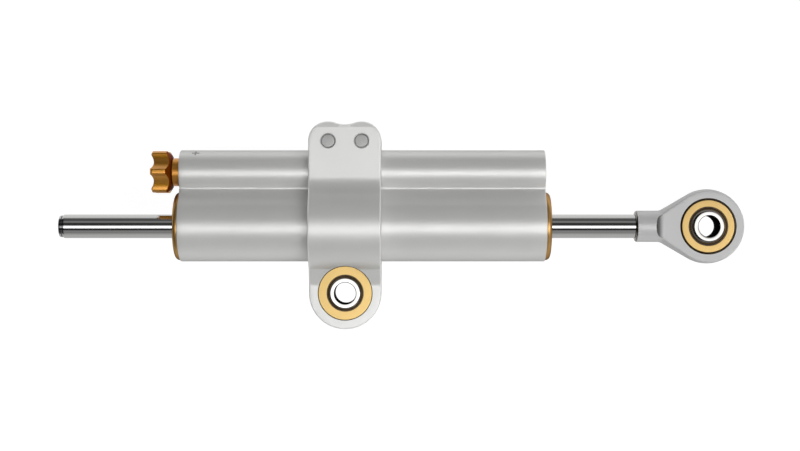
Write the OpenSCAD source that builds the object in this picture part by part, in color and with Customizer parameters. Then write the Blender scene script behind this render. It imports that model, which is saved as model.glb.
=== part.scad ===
// Linear steering damper with a through rod, a clamp with a spherical eye and a rod-end eye.
// Origin at the centre of the clamp eye. +X points along the rod to the rod end, +Y across to the
// adjuster tube, +Z along the bore of the eye. All lengths in millimetres.

/* [Body] */
// Outside diameter of the main tube
tube_d = 26.5; // [26.3:0.1:27]
// Bore of the main tube
bore_d = 21; // [20.8:0.1:21.2]
// Outside diameter of the adjuster tube above the main tube
adjuster_d = 16.5; // [16.2:0.1:16.8]
// Distance between the two tube axes
axis_gap = 20.4; // [20.2:0.1:20.6]

/* [Rod] */
// Diameter of the damper rod
rod_d = 9; // [8.8:0.05:9.05]
// Left tip of the rod
rod_tip_x = -107.6; // [-112:0.1:-104]
// Centre of the rod-end eye
rod_eye_x = 136; // [135.4:0.1:136.7]
// Neck diameter of the rod end
neck_d = 11.8; // [11.5:0.1:12.1]

/* [Clamp] */
// Width of the clamp along the tube
clamp_w = 27; // [26.6:0.1:28]
// Thickness of the clamp ring around the main tube
clamp_wall = 4.35; // [4.2:0.05:4.5]
// Distance from the eye to the rod axis
eye_drop = 25; // [24.9:0.05:25.2]
// Width of the slit that the pinch screws close
slit = 2; // [1.6:0.1:2.4]

/* [Eyes] */
// Bolt bore of both balls
ball_bore_d = 8; // [7.8:0.05:8.1]
// Diameter of the balls
ball_d = 16; // [15.95:0.01:16.02]
// Outside diameter of the gold bearing rings
ring_d = 20.46; // [20.3:0.02:20.46]

/* [Adjuster] */
// Diameter over the knob's lobes
knob_d = 17.2; // [16.5:0.1:17.5]
// Number of lobes on the knob
knob_lobes = 6; // [5:1:7]
// Number of clicks in one turn of the knob
clicks = 16; // [12:1:20]

/* [Hidden] */
$fn = 96;

body_x0 = -62;
body_x1 = 74.9;
rod_y = eye_drop;
adj_y = eye_drop + axis_gap;
tube_r = tube_d / 2;
bore_r = bore_d / 2;
adj_r = adjuster_d / 2;
rod_r = rod_d / 2;
neck_r = neck_d / 2;
ball_r = ball_d / 2;

// end caps, measured from each end face of the body: negative is outside
cap_out = 1.9;
thread_r = 11.3;
cap_in = 22;

// adjuster bore
adj_bore_r = 5.5;
seat_x = -27.4;
port_r = 1.5;
port_x = [-37, 49.5];

// piston on the rod
piston_x0 = -5.7;
piston_x1 = 10.3;

// web between the two tubes: a flat that touches the main tube at this angle
web_a = 40;
web_fillet = 1.2;
web_l = tube_r + web_fillet;
web_s = adj_r + web_fillet;
// where the fillet's centre lies along that flat
web_b = 2 * (-web_l * cos(web_a) * sin(web_a) + (web_l * sin(web_a) - axis_gap) * cos(web_a));
web_k = pow(web_l * cos(web_a), 2) + pow(web_l * sin(web_a) - axis_gap, 2) - web_s * web_s;
web_t = (-web_b - sqrt(web_b * web_b - 4 * web_k)) / 2;
web_c = [web_l * cos(web_a) - web_t * sin(web_a), web_l * sin(web_a) + web_t * cos(web_a)];

// clamp outline
ring_r = tube_r + clamp_wall;
eye_half = 5.2;
eye_r = clamp_w / 2;
flange_half = 10.8;
flange_top = 36.8;
screw_h = 31.7;
screw_x = 6.2;
hump_r = eye_r - screw_x;
valley_h = 37.8;
valley_r = (pow(screw_x, 2) + pow(valley_h - screw_h, 2) - hump_r * hump_r) / (2 * (hump_r - (valley_h - screw_h)));
// below the ring: a small fillet (nook), a ramp and a wide fillet (foot) on to the eye's flat
foot_h = -23.05;
foot_r = 6;
ramp_a = 18;
nook_r = 1.8;
foot_c = [eye_half + foot_r, foot_h];
ramp_n = [cos(ramp_a), -sin(ramp_a)];
ramp_d = [sin(ramp_a), cos(ramp_a)];
ramp_0 = foot_c - foot_r * ramp_n;
nook_p = ramp_0 + nook_r * ramp_n;
ramp_k = nook_p * ramp_d;
ramp_l = -ramp_k - sqrt(ramp_k * ramp_k - nook_p * nook_p + pow(ring_r + nook_r, 2));
ramp_1 = ramp_0 + ramp_l * ramp_d;
nook_c = nook_p + ramp_l * ramp_d;
up_fr = 10.5;
up_h = sqrt(pow(ring_r + up_fr, 2) - pow(flange_half + up_fr, 2));

// bearings
liner_in = ball_r + 0.05;
liner_out = ball_r + 0.25;
race_r = ball_r + 0.3;
ball_half = 5.8;

// ---- helpers ----

// local z becomes +X, local y stays +Y
module on_rod_axis() { translate([0, rod_y, 0]) rotate([0, 90, 0]) children(); }
module on_adj_axis() { translate([0, adj_y, 0]) rotate([0, 90, 0]) children(); }

// a turned piece from points [radius, position along the axis]
module turned(points) { rotate_extrude() polygon(points); }

// an O-ring: radius of the ring, radius of the cord, position
module o_ring(r, cord, z) { translate([0, 0, z]) rotate_extrude() translate([r, 0]) circle(r = cord); }

module both_sides() { children(); mirror([1, 0]) children(); }

// outline of the twin-bore body grown by c. Curves that would only touch cross by a hundredth instead.
module body_outline(c = 0) {
    n = [cos(web_a), sin(web_a)];
    a = [0, axis_gap];
    f = web_fillet - c;
    circle(r = tube_r + c);
    translate(a) circle(r = adj_r + c);
    both_sides() difference() {
        polygon([[-0.5, 0], (tube_r + c - 0.01) * n, web_c - (f + 0.01) * n, web_c, a + 0.6 * (web_c - a), [-0.5, axis_gap]]);
        translate(web_c) circle(r = f + 0.006);
    }
}

// a helical spring of round wire along local z
function circle_at(r, a, z) = [r * cos(a), r * sin(a), z];
module helix(coil_r, wire_r, z0, z1, turns, steps = 14, sides = 8) {
    n = turns * steps;
    lead = (z1 - z0 - 2 * wire_r) / (turns * 360);
    points = [for (i = [0:n]) let(a = 360 * i / steps, z = z0 + wire_r + lead * a)
        for (k = [0:sides - 1]) let(b = 360 * k / sides)
            circle_at(coil_r + wire_r * cos(b), a, z + wire_r * sin(b))];
    faces = concat(
        [[for (k = [0:sides - 1]) k]],
        [for (i = [0:n - 1], k = [0:sides - 1]) let(m = (k + 1) % sides)
            [i * sides + k, (i + 1) * sides + k, (i + 1) * sides + m, i * sides + m]],
        [[for (k = [sides - 1:-1:0]) n * sides + k]]);
    polyhedron(points = points, faces = faces);
}

// ---- body ----

module body_tube() color("silver") difference() {
    on_rod_axis() translate([0, 0, body_x0]) linear_extrude(body_x1 - body_x0) body_outline();
    on_rod_axis() turned([[0, body_x0 - 1], [thread_r, body_x0 - 1], [thread_r, body_x0 + 7],
        [bore_r, body_x0 + 7], [bore_r, body_x1 - 7], [thread_r, body_x1 - 7],
        [thread_r, body_x1 + 1], [0, body_x1 + 1]]);
    on_adj_axis() turned([[0, body_x0 - 1], [adj_bore_r, body_x0 - 1], [adj_bore_r, seat_x],
        [4.6, seat_x], [4.6, 51.5], [adj_bore_r, 51.5], [adj_bore_r, 72.5], [6.2, 72.5], [6.2, 73.5],
        [adj_bore_r, 73.5], [adj_bore_r, body_x1 + 1], [0, body_x1 + 1]]);
    // two ports join the damping chambers to the adjuster bore
    for (x = port_x) translate([x, rod_y + 8, 0]) rotate([-90, 0, 0]) cylinder(r = port_r, h = axis_gap - 9);
    // engraved plus mark beside the knob
    translate([-56, adj_y, 0]) rotate([-58, 0, 0]) translate([0, 0, adj_r]) {
        cube([2.8, 0.6, 0.5], center = true);
        cube([0.6, 2.8, 0.5], center = true);
    }
}

// everything in an end cap is drawn for the left end and mirrored for the right one
module left_end() { on_rod_axis() translate([0, 0, body_x0]) children(); }
module right_end() { on_rod_axis() translate([0, 0, body_x1]) mirror([0, 0, 1]) children(); }

module cap() difference() {
    union() {
        turned([[0, -cap_out], [11.25, -cap_out], [12.75, -0.4], [12.75, 0], [11.25, 0], [11.25, 6.8],
            [10.45, 6.8], [10.45, cap_in - 0.5], [9.95, cap_in], [0, cap_in]]);
        rotate_extrude() translate([11.25, -0.4]) intersection() {
            circle(r = 1.5);
            translate([-2, -2]) square([4, 2]);
        }
    }
    turned([[0, -3], [7, -3], [7, 1.5], [4.8, 1.5], [4.8, 4], [7.2, 4], [7.2, 8], [4.8, 8], [4.8, 12],
        [5.75, 12], [5.75, cap_in + 1], [0, cap_in + 1]]);
    // groove for the O-ring
    turned([[8.7, 13], [11, 13], [11, 15.4], [8.7, 15.4]]);
    // holes for a pin spanner
    for (a = [45:90:315]) rotate([0, 0, a]) translate([9.3, 0, -3]) cylinder(r = 1.1, h = 4.6);
}
module left_end_cap() color("goldenrod") left_end() cap();
module right_end_cap() color("goldenrod") right_end() cap();

module guide_bush() turned([[rod_r + 0.03, 12.1], [5.7, 12.1], [5.7, cap_in - 0.2], [rod_r + 0.03, cap_in - 0.2]]);
module left_guide_bush() color("peru") left_end() guide_bush();
module right_guide_bush() color("peru") right_end() guide_bush();

module rod_seal() turned([[rod_r + 0.04, 4.1], [7.1, 4.1], [7.1, 7.9], [6.3, 7.9], [5.9, 6.4], [5.5, 6.4],
    [5.1, 7.9], [rod_r + 0.04, 7.9]]);
module left_rod_seal() color("dimgray") left_end() rod_seal();
module right_rod_seal() color("dimgray") right_end() rod_seal();

module rod_wiper() turned([[rod_r + 0.04, -1.3], [5.1, -1.3], [5.6, -0.6], [6.95, -0.6], [6.95, 1.45],
    [5.6, 1.45], [5.6, 0.5], [rod_r + 0.04, 0.1]]);
module left_rod_wiper() color("#222222") left_end() rod_wiper();
module right_rod_wiper() color("#222222") right_end() rod_wiper();

module left_cap_o_ring() color("#222222") left_end() o_ring(9.6, 0.85, 14.2);
module right_cap_o_ring() color("#222222") right_end() o_ring(9.6, 0.85, 14.2);

// ---- adjuster ----

module adjuster_housing() color("goldenrod") on_adj_axis() difference() {
    turned([[0, -65], [5, -65], [5.3, -64.7], [5.3, -62], [5.45, -61.6], [5.45, -58.3], [4.5, -58.3],
        [4.5, -55.9], [5.45, -55.9], [5.45, -43], [0, -43]]);
    // spindle bore with its O-ring groove
    turned([[0, -65.6], [2.05, -65.6], [2.05, -61.2], [3.2, -61.2], [3.2, -59.5], [2.05, -59.5],
        [2.05, -55.4], [0, -55.4]]);
    // the needle slides in a square hole, so it can't turn
    translate([-2.8, -2.8, -55.5]) cube([5.6, 5.6, 14]);
    // blind hole for the detent spring and ball
    translate([0, 3.55, -65.6]) cylinder(r = 0.8, h = 4.1);
}

module housing_o_ring() color("#222222") on_adj_axis() o_ring(4.98, 0.43, -57.1);

// the ball stands clear of the lands between the dimples by 0.07 mm
module detent_ball() color("lightgray") on_adj_axis() translate([0, 3.55, -64.95]) sphere(r = 0.75);

module detent_spring() color("gray") on_adj_axis() translate([0, 3.55, 0])
    helix(0.52, 0.13, -64.15, -61.55, 6, 10, 6);

module valve_seat() color("goldenrod") on_adj_axis() turned([[1.75, -31.4], [5.45, -31.4], [5.45, seat_x - 0.05],
    [1.1, seat_x - 0.05], [1.1, -29.55]]);

module reservoir_plug() color("silver") on_adj_axis() turned([[0, 68.6], [1.5, 68.6], [1.5, 70.1],
    [3.3, 70.1], [3.3, 68.6], [5.45, 68.6], [5.45, 69.3], [4.5, 69.3], [4.5, 71.3], [5.45, 71.3],
    [5.45, 72.45], [1.6, 72.45], [1.6, 71.2], [0, 71.2]]);

module plug_o_ring() color("#222222") on_adj_axis() o_ring(4.98, 0.43, 70.3);

module plug_circlip() color("gray") on_adj_axis() difference() {
    turned([[4.5, 72.55], [6.1, 72.55], [6.1, 73.45], [4.5, 73.45]]);
    translate([-1.5, 3, 72]) cube([3, 5, 2]);
}

module expansion_spring() color("gray") on_adj_axis() helix(3.85, 0.4, 60.15, 68.55, 5, 14, 8);

module expansion_piston() color("silver") on_adj_axis() turned([[0, 54.2], [4.9, 54.2], [5.44, 54.7],
    [5.44, 55.7], [4.5, 55.7], [4.5, 57.7], [5.44, 57.7], [5.44, 60.1], [3.1, 60.1], [3.1, 57],
    [0, 57]]);

module expansion_o_ring() color("#222222") on_adj_axis() o_ring(4.98, 0.43, 56.7);

// ---- clamp ----

// outline across the clamp, as seen along the rod
module clamp_outline() {
    mid_c = 0.5 * nook_c;
    up_c = [flange_half + up_fr, up_h];
    difference() {
        union() {
            circle(r = ring_r);
            polygon([[-eye_half, -45], [eye_half, -45], [eye_half, foot_h], foot_c, ramp_0, ramp_1, nook_c, mid_c, 0.3 * up_c, up_c,
                [flange_half, up_h], [flange_half, flange_top], [flange_half - 6, flange_top + 6],
                [6 - flange_half, flange_top + 6], [-flange_half, flange_top], [-flange_half, up_h],
                [-up_c[0], up_h], [-0.3 * up_c[0], 0.3 * up_h], [-mid_c[0], mid_c[1]], [-nook_c[0], nook_c[1]], [-ramp_1[0], ramp_1[1]],
                [-ramp_0[0], ramp_0[1]], [-foot_c[0], foot_h], [-eye_half, foot_h]]);
        }
        for (s = [-1, 1]) {
            translate([s * foot_c[0], foot_h]) circle(r = foot_r + 0.01);
            translate([s * nook_c[0], nook_c[1]]) circle(r = nook_r + 0.01);
            translate([s * up_c[0], up_h]) circle(r = up_fr + 0.01);
        }
    }
}

// outline of the clamp as seen along the eye's bore, with a hump round each pinch screw
module clamp_face() {
    top = rod_y + screw_h;
    circle(r = eye_r + 0.005);
    translate([-eye_r, 0]) square([2 * eye_r, top]);
    for (s = [-1, 1]) translate([s * screw_x, top]) circle(r = hump_r + 0.005);
    difference() {
        polygon([[-screw_x, top - 1], [screw_x, top - 1], [screw_x, top], [0, rod_y + valley_h + valley_r], [-screw_x, top]]);
        translate([0, rod_y + valley_h + valley_r]) circle(r = valley_r + 0.005);
    }
}

module clamp_band() color("silver") difference() {
    intersection() {
        on_rod_axis() translate([0, 0, -eye_r - 1]) linear_extrude(2 * eye_r + 2) clamp_outline();
        translate([0, 0, -30]) linear_extrude(60) clamp_face();
    }
    on_rod_axis() translate([0, 0, -30]) linear_extrude(60) body_outline(0.05);
    // slit between the two flanges
    translate([-20, rod_y + axis_gap + 5, -slit / 2]) cube([40, 30, slit]);
    // bore for the bearing ring
    translate([0, 0, -20]) cylinder(r = 10.25, h = 40);
    // pinch screws: threaded in front, clear behind, heads sunk
    for (s = [-1, 1]) translate([s * screw_x, rod_y + screw_h, 0]) {
        translate([0, 0, -12]) cylinder(r = 2.55, h = 24);
        translate([0, 0, -12]) cylinder(r = 4.35, h = 6.5);
        translate([0, 0, 10.5]) cylinder(r1 = 2.55, r2 = 3.15, h = 0.6);
    }
}

module pinch_screws() color("gray") for (s = [-1, 1]) translate([s * screw_x, rod_y + screw_h, 0]) difference() {
    turned([[0, -10.4], [3.95, -10.4], [4.25, -10.1], [4.25, -5.55], [2.5, -5.55], [2.5, 10.25], [2.2, 10.55], [0, 10.55]]);
    translate([0, 0, -11]) cylinder(r = 2.31, h = 3.1, $fn = 6);
}

// bearing ring: half its width and the chamfer on its outer edges
module bearing_ring(half, c) rotate_extrude() difference() {
    polygon([[3, -half], [ring_d / 2 - c, -half], [ring_d / 2, -half + c], [ring_d / 2, half - c],
        [ring_d / 2 - c, half], [3, half]]);
    circle(r = race_r);
}
module race_liner(half) rotate_extrude() difference() {
    intersection() {
        circle(r = liner_out);
        translate([3, -half]) square([10, 2 * half]);
    }
    circle(r = liner_in);
}
module ball() rotate_extrude() difference() {
    intersection() {
        circle(r = ball_r);
        translate([ball_bore_d / 2, -ball_half]) square([10, 2 * ball_half]);
    }
    for (s = [-1, 1]) polygon([[ball_bore_d / 2 - 1, s * (ball_half - 1.55)], [ball_bore_d / 2 + 1, s * (ball_half + 0.45)],
        [ball_bore_d / 2 - 1, s * (ball_half + 0.45)]]);
}

module frame_bearing_ring() color("goldenrod") bearing_ring(4.9, 0.2);
module frame_race_liner() color("#5a4a35") race_liner(4.85);
module frame_ball() color("lightgray") ball();

// ---- rod ----

module piston_rod() color("lightgray") on_rod_axis() turned([[0, rod_tip_x], [rod_r - 0.7, rod_tip_x],
    [rod_r, rod_tip_x + 1.1], [rod_r, piston_x0 - 3.8], [3.95, piston_x0 - 3.8], [3.95, piston_x0 - 2.5],
    [rod_r, piston_x0 - 2.5], [rod_r, piston_x1 + 2.5], [3.95, piston_x1 + 2.5], [3.95, piston_x1 + 3.8],
    [rod_r, piston_x1 + 3.8], [rod_r, 108.88], [4, 108.88], [4, 116], [3.5, 116.5], [0, 116.5]]);

module piston() color("silver") on_rod_axis() turned([[rod_r + 0.02, piston_x0], [9.7, piston_x0], [10.2, piston_x0 + 0.5],
    [10.2, 0.3], [8.6, 0.3], [8.6, 4.3], [10.2, 4.3], [10.2, piston_x1 - 0.5], [9.7, piston_x1],
    [rod_r + 0.02, piston_x1], [rod_r + 0.02, 7.5], [5.85, 7.5], [5.85, 5.9], [rod_r + 0.02, 5.9]]);

module piston_o_ring() color("#222222") on_rod_axis() o_ring(5.18, 0.62, 6.7);

module piston_clips() color("gray") on_rod_axis() for (x = [piston_x0 - 3.75, piston_x1 + 2.55]) difference() {
    turned([[3.98, x], [6.4, x], [6.4, x + 1.2], [3.98, x + 1.2]]);
    translate([-1.2, 3, x - 1]) cube([2.4, 5, 4]);
}

module bump_washers() color("#333333") on_rod_axis() for (x = [piston_x0 - 2.45, piston_x1 + 0.05])
    turned([[rod_r + 0.03, x], [7.6, x], [7.6, x + 2.4], [rod_r + 0.03, x + 2.4]]);

module piston_ring() color("#e8e4d8") on_rod_axis() turned([[8.8, 0.35], [bore_r - 0.04, 0.35], [bore_r - 0.04, 4.25], [8.8, 4.25]]);

// half profile of the rod end: neck, blend, cone and a sphere round the eye, [position, radius]
rod_end_x = 108.9;
head_r = 14;
cone_a = 30.2;
head_half = 4.2;
tan_x = rod_eye_x - head_r * sin(cone_a);
tan_r = head_r * cos(cone_a);
knee_x = tan_x - (tan_r - neck_r) / tan(cone_a);
blend_r = 3.5;
// where each flat of the head starts, and the radius of the hollow run-out before it
flat_x = 119.3;
run_out = 3.2;
blend_l = blend_r * tan(cone_a / 2);

module rod_end_profile() intersection() {
    union() {
        difference() {
            translate([0, rod_end_x]) square([neck_r, 20]);
            translate([neck_r - 0.9, rod_end_x - 1]) square([2, 1.9]);
        }
        translate([neck_r - 0.9, rod_end_x + 0.9]) circle(r = 0.9);
        translate([0, rod_end_x]) square([neck_r - 0.9, 2]);
        polygon([[0, knee_x], [neck_r, knee_x], [tan_r, tan_x], [0, tan_x + 2]]);
        difference() {
            polygon([[neck_r - 0.3, knee_x - blend_l], [neck_r, knee_x - blend_l], [neck_r + blend_r, knee_x - blend_l],
                [neck_r + blend_l * sin(cone_a), knee_x + blend_l * cos(cone_a)],
                [neck_r - 0.3, knee_x + blend_l * cos(cone_a)]]);
            translate([neck_r + blend_r, knee_x - blend_l]) circle(r = blend_r);
        }
        translate([0, rod_eye_x]) circle(r = head_r);
    }
    translate([0, rod_end_x - 5]) square([30, 60]);
}

// two flats, each with a hollow run-out towards the neck
module rod_end_flats() for (s = [-1, 1]) {
    translate([flat_x, rod_y - 20, s > 0 ? head_half : -head_half - 20]) cube([40, 40, 20]);
    translate([flat_x, rod_y + 20, s * (head_half + run_out)]) rotate([90, 0, 0]) cylinder(r = run_out, h = 40);
}

module rod_end() color("silver") difference() {
    on_rod_axis() rotate_extrude() rod_end_profile();
    rod_end_flats();
    // tapped hole for the rod
    on_rod_axis() turned([[0, 105], [4.02, 105], [4.02, 116.7], [0, 118.2]]);
    // bore for the bearing ring, with a staking groove round it
    translate([rod_eye_x, rod_y, 0]) turned([[0, -6.2], [10.25 + 2.3, -head_half - 2], [10.25, -head_half + 0.3], [10.25, head_half - 0.3],
        [10.25 + 2.3, head_half + 2], [0, 6.2]]);
}

module rod_bearing_ring() color("goldenrod") translate([rod_eye_x, rod_y, 0]) bearing_ring(4.15, 0.3);
module rod_race_liner() color("#5a4a35") translate([rod_eye_x, rod_y, 0]) race_liner(4.1);
module rod_ball() color("lightgray") translate([rod_eye_x, rod_y, 0]) ball();

// ---- knob and needle ----

module adjuster_knob() color("#a8690f") on_adj_axis() difference() {
    intersection() {
        translate([0, 0, -73]) linear_extrude(9) difference() {
            circle(r = knob_d / 2);
            // one lobe faces +Z
            for (i = [0:knob_lobes - 1]) rotate([0, 0, 180 + 360 * (i + 0.5) / knob_lobes])
                translate([13.46, 0]) circle(r = 6.6);
        }
        turned([[0, -70.6], [5.3, -70.6], [8, -72.55], [knob_d / 2 + 0.05, -71.9],
            [knob_d / 2 + 0.05, -66.8], [6.1, -65.2], [0, -65.2]]);
    }
    // bore on the spindle's square, and the annular track with the detent dimples
    translate([-1.45, -1.45, -71]) cube([2.9, 2.9, 8]);
    turned([[2.7, -65.77], [4.4, -65.77], [4.4, -64.6], [2.7, -64.6]]);
    for (i = [0:clicks - 1]) rotate([0, 0, 90 + 360 * i / clicks]) translate([3.55, 0, -65.5]) sphere(r = 0.6);
}

module adjuster_spindle() color("gray") on_adj_axis() difference() {
    union() {
        translate([-1.4, -1.4, -70.5]) cube([2.8, 2.8, 5.8]);
        turned([[0, -64.9], [1.99, -64.9], [1.99, -55.45], [2.74, -55.45], [2.74, -54.5], [1.5, -54.5],
            [1.5, -46.3], [1.2, -46], [0, -46]]);
    }
    translate([0, 0, -71]) cylinder(r = 0.85, h = 6);
}

module knob_screw() color("gray") on_adj_axis() difference() {
    turned([[0, -71.75], [2.1, -71.75], [2.3, -71.5], [2.3, -70.63], [0.82, -70.63], [0.82, -65.6], [0, -65.6]]);
    translate([0, 0, -72]) cylinder(r = 0.88, h = 1.15, $fn = 6);
}

module spindle_o_ring() color("#222222") on_adj_axis() o_ring(2.6, 0.54, -60.35);

module needle() color("lightgray") on_adj_axis() difference() {
    union() {
        translate([-2.75, -2.75, -52.6]) cube([5.5, 5.5, 9]);
        turned([[0, -44], [2, -44], [2, -33.05], [0.35, -28.35], [0, -28.35]]);
    }
    translate([0, 0, -53]) cylinder(r = 1.55, h = 8.6);
}

// ---- drawing ----

body_tube();
left_end_cap();
right_end_cap();
left_guide_bush();
right_guide_bush();
left_rod_seal();
right_rod_seal();
left_rod_wiper();
right_rod_wiper();
left_cap_o_ring();
right_cap_o_ring();
adjuster_housing();
housing_o_ring();
detent_ball();
detent_spring();
valve_seat();
reservoir_plug();
plug_o_ring();
plug_circlip();
expansion_spring();
expansion_piston();
expansion_o_ring();
clamp_band();
pinch_screws();
frame_bearing_ring();
frame_race_liner();
frame_ball();
piston_ring();
piston_rod();
piston();
piston_o_ring();
piston_clips();
bump_washers();
rod_end();
rod_bearing_ring();
rod_race_liner();
rod_ball();
adjuster_knob();
adjuster_spindle();
knob_screw();
spindle_o_ring();
needle();
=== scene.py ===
"""Linear steering damper: the looks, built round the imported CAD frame. Lengths are in millimetres until new_object()."""
import math

import bmesh
import bpy
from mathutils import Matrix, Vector
from mathutils.geometry import delaunay_2d_cdt, tessellate_polygon


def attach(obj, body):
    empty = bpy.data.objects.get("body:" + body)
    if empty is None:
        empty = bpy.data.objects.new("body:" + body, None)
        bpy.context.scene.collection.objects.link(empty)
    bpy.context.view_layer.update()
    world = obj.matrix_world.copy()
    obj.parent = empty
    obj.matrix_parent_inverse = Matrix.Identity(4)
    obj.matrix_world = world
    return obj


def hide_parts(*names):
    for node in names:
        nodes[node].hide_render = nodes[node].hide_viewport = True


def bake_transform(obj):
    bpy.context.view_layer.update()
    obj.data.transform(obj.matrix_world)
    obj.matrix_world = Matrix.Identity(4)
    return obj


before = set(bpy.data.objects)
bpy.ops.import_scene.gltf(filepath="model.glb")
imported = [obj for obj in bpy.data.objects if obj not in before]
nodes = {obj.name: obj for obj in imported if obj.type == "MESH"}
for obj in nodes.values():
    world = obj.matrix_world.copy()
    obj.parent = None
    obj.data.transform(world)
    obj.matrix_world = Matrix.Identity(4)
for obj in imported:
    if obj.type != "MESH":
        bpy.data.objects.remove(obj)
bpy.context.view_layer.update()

MM = 0.001

# ---- the damper's own measures, as in part.scad ----
ROD_Y, ADJ_Y, EYE_X = 25.0, 45.4, 136.0
X0, X1 = -62.0, 74.9
TUBE_R, ADJ_R, GAP = 13.25, 8.25, 20.4
BORE_R, THREAD_R, ADJ_BORE_R = 10.5, 11.3, 5.5
RING_R, EYE_R = 17.6, 13.5


def sind(a): return math.sin(math.radians(a))
def cosd(a): return math.cos(math.radians(a))


# ---------------------------------------------------------------- mesh helpers
def shade(o, angle=32):
    o.data.shade_smooth()
    o.data.set_sharp_from_angle(angle=math.radians(angle))
    return o


def new_object(name, verts, faces, angle=32):
    me = bpy.data.meshes.new(name)
    me.from_pydata([(x * MM, y * MM, z * MM) for x, y, z in verts], [], faces)
    bm = bmesh.new()
    bm.from_mesh(me)
    bmesh.ops.remove_doubles(bm, verts=bm.verts, dist=2e-7)
    bmesh.ops.recalc_face_normals(bm, faces=bm.faces)
    bm.to_mesh(me)
    bm.free()
    o = bpy.data.objects.new(name, me)
    bpy.context.scene.collection.objects.link(o)
    return shade(o, angle)


def rounded(corners, step=9.0, closed=False):
    """A line through corners (a, b) or (a, b, radius), with an arc at every corner that has a radius."""
    n, out = len(corners), []
    for i, c in enumerate(corners):
        radius = c[2] if len(c) > 2 else 0
        if radius <= 0 or (not closed and i in (0, n - 1)):
            out.append((c[0], c[1]))
            continue
        p, q, r = Vector(corners[i - 1][:2]), Vector(c[:2]), Vector(corners[(i + 1) % n][:2])
        u, v = (p - q), (r - q)
        lu, lv = u.length, v.length
        u.normalize(), v.normalize()
        between = math.acos(max(-1, min(1, u.dot(v))))
        turn = math.pi - between
        if turn < 1e-3:
            out.append((c[0], c[1]))
            continue
        t = min(radius * math.tan(turn / 2), 0.48 * lu, 0.48 * lv)
        radius = t / math.tan(turn / 2)
        centre = q + (u + v).normalized() * (radius / math.sin(between / 2))
        a0 = math.atan2(*(q + u * t - centre).yx)
        a1 = math.atan2(*(q + v * t - centre).yx)
        d = (a1 - a0 + math.pi) % (2 * math.pi) - math.pi
        k = max(3, math.ceil(math.degrees(abs(d)) / step))
        out += [(centre.x + radius * math.cos(a0 + d * j / k), centre.y + radius * math.sin(a0 + d * j / k)) for j in range(k + 1)]
    return out


def loft(rings, join_ends=False):
    """Vertices and faces of rings of equal length, one after another. A ring of one point is a tip."""
    verts, starts = [], []
    for ring in rings:
        starts.append(len(verts))
        verts += ring
    faces = []
    pairs = list(zip(range(len(rings) - 1), range(1, len(rings))))
    if join_ends:
        pairs.append((len(rings) - 1, 0))
    for i, j in pairs:
        a, b, na, nb = starts[i], starts[j], len(rings[i]), len(rings[j])
        n = max(na, nb)
        for k in range(n):
            m = (k + 1) % n
            f = [a + (k if na > 1 else 0), a + (m if na > 1 else 0), b + (m if nb > 1 else 0), b + (k if nb > 1 else 0)]
            f = [v for t, v in enumerate(f) if v not in f[:t]]
            faces.append(f)
    return verts, faces


def lathe(name, profile, axis="x", at=(0, 0), seg=160, angle=32):
    """A turned piece. profile is (position along the axis, radius), a closed loop unless it starts on the axis."""
    rings = []
    for a, r in profile:
        n = 1 if r < 1e-6 else seg
        ring = []
        for k in range(n):
            c, s = r * math.cos(2 * math.pi * k / seg), r * math.sin(2 * math.pi * k / seg)
            ring.append((a, at[0] + s, at[1] + c) if axis == "x" else (at[0] + c, at[1] + s, a))
        rings.append(ring if r >= 1e-6 else ring[:1])
    return new_object(name, *loft(rings, join_ends=profile[0][1] > 1e-6), angle=angle)


def apply_cut(o, cutter, angle=32, operation="DIFFERENCE"):
    m = o.modifiers.new("cut", "BOOLEAN")
    m.object, m.operation, m.solver = cutter, operation, "EXACT"
    bpy.context.view_layer.update()
    me = bpy.data.meshes.new_from_object(o.evaluated_get(bpy.context.evaluated_depsgraph_get()))
    o.modifiers.clear()
    old, o.data = o.data, me
    me.name = o.name
    bpy.data.meshes.remove(old)
    bpy.data.objects.remove(cutter)
    return shade(o, angle)


def drum(r, z0, z1, at, seg=128, axis="z"):
    """A closed cylinder, used only as a cutter."""
    return lathe("cutter", [(z0, 0), (z0, r), (z1, r), (z1, 0)], axis, at, seg)


def piece(o, body, slot, material, *replaced):
    o.data.materials.clear()
    o.data.materials.append(material)
    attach(o, body)
    if replaced:
        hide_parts(*replaced)
    return o


def paint(o, look, where):
    """Gives the faces whose centre, in millimetres, and normal pass where() another look."""
    o.data.materials.append(look.m)
    for f in o.data.polygons:
        if where(f.center / MM, f.normal):
            f.material_index = len(o.data.materials) - 1
    return o


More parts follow.
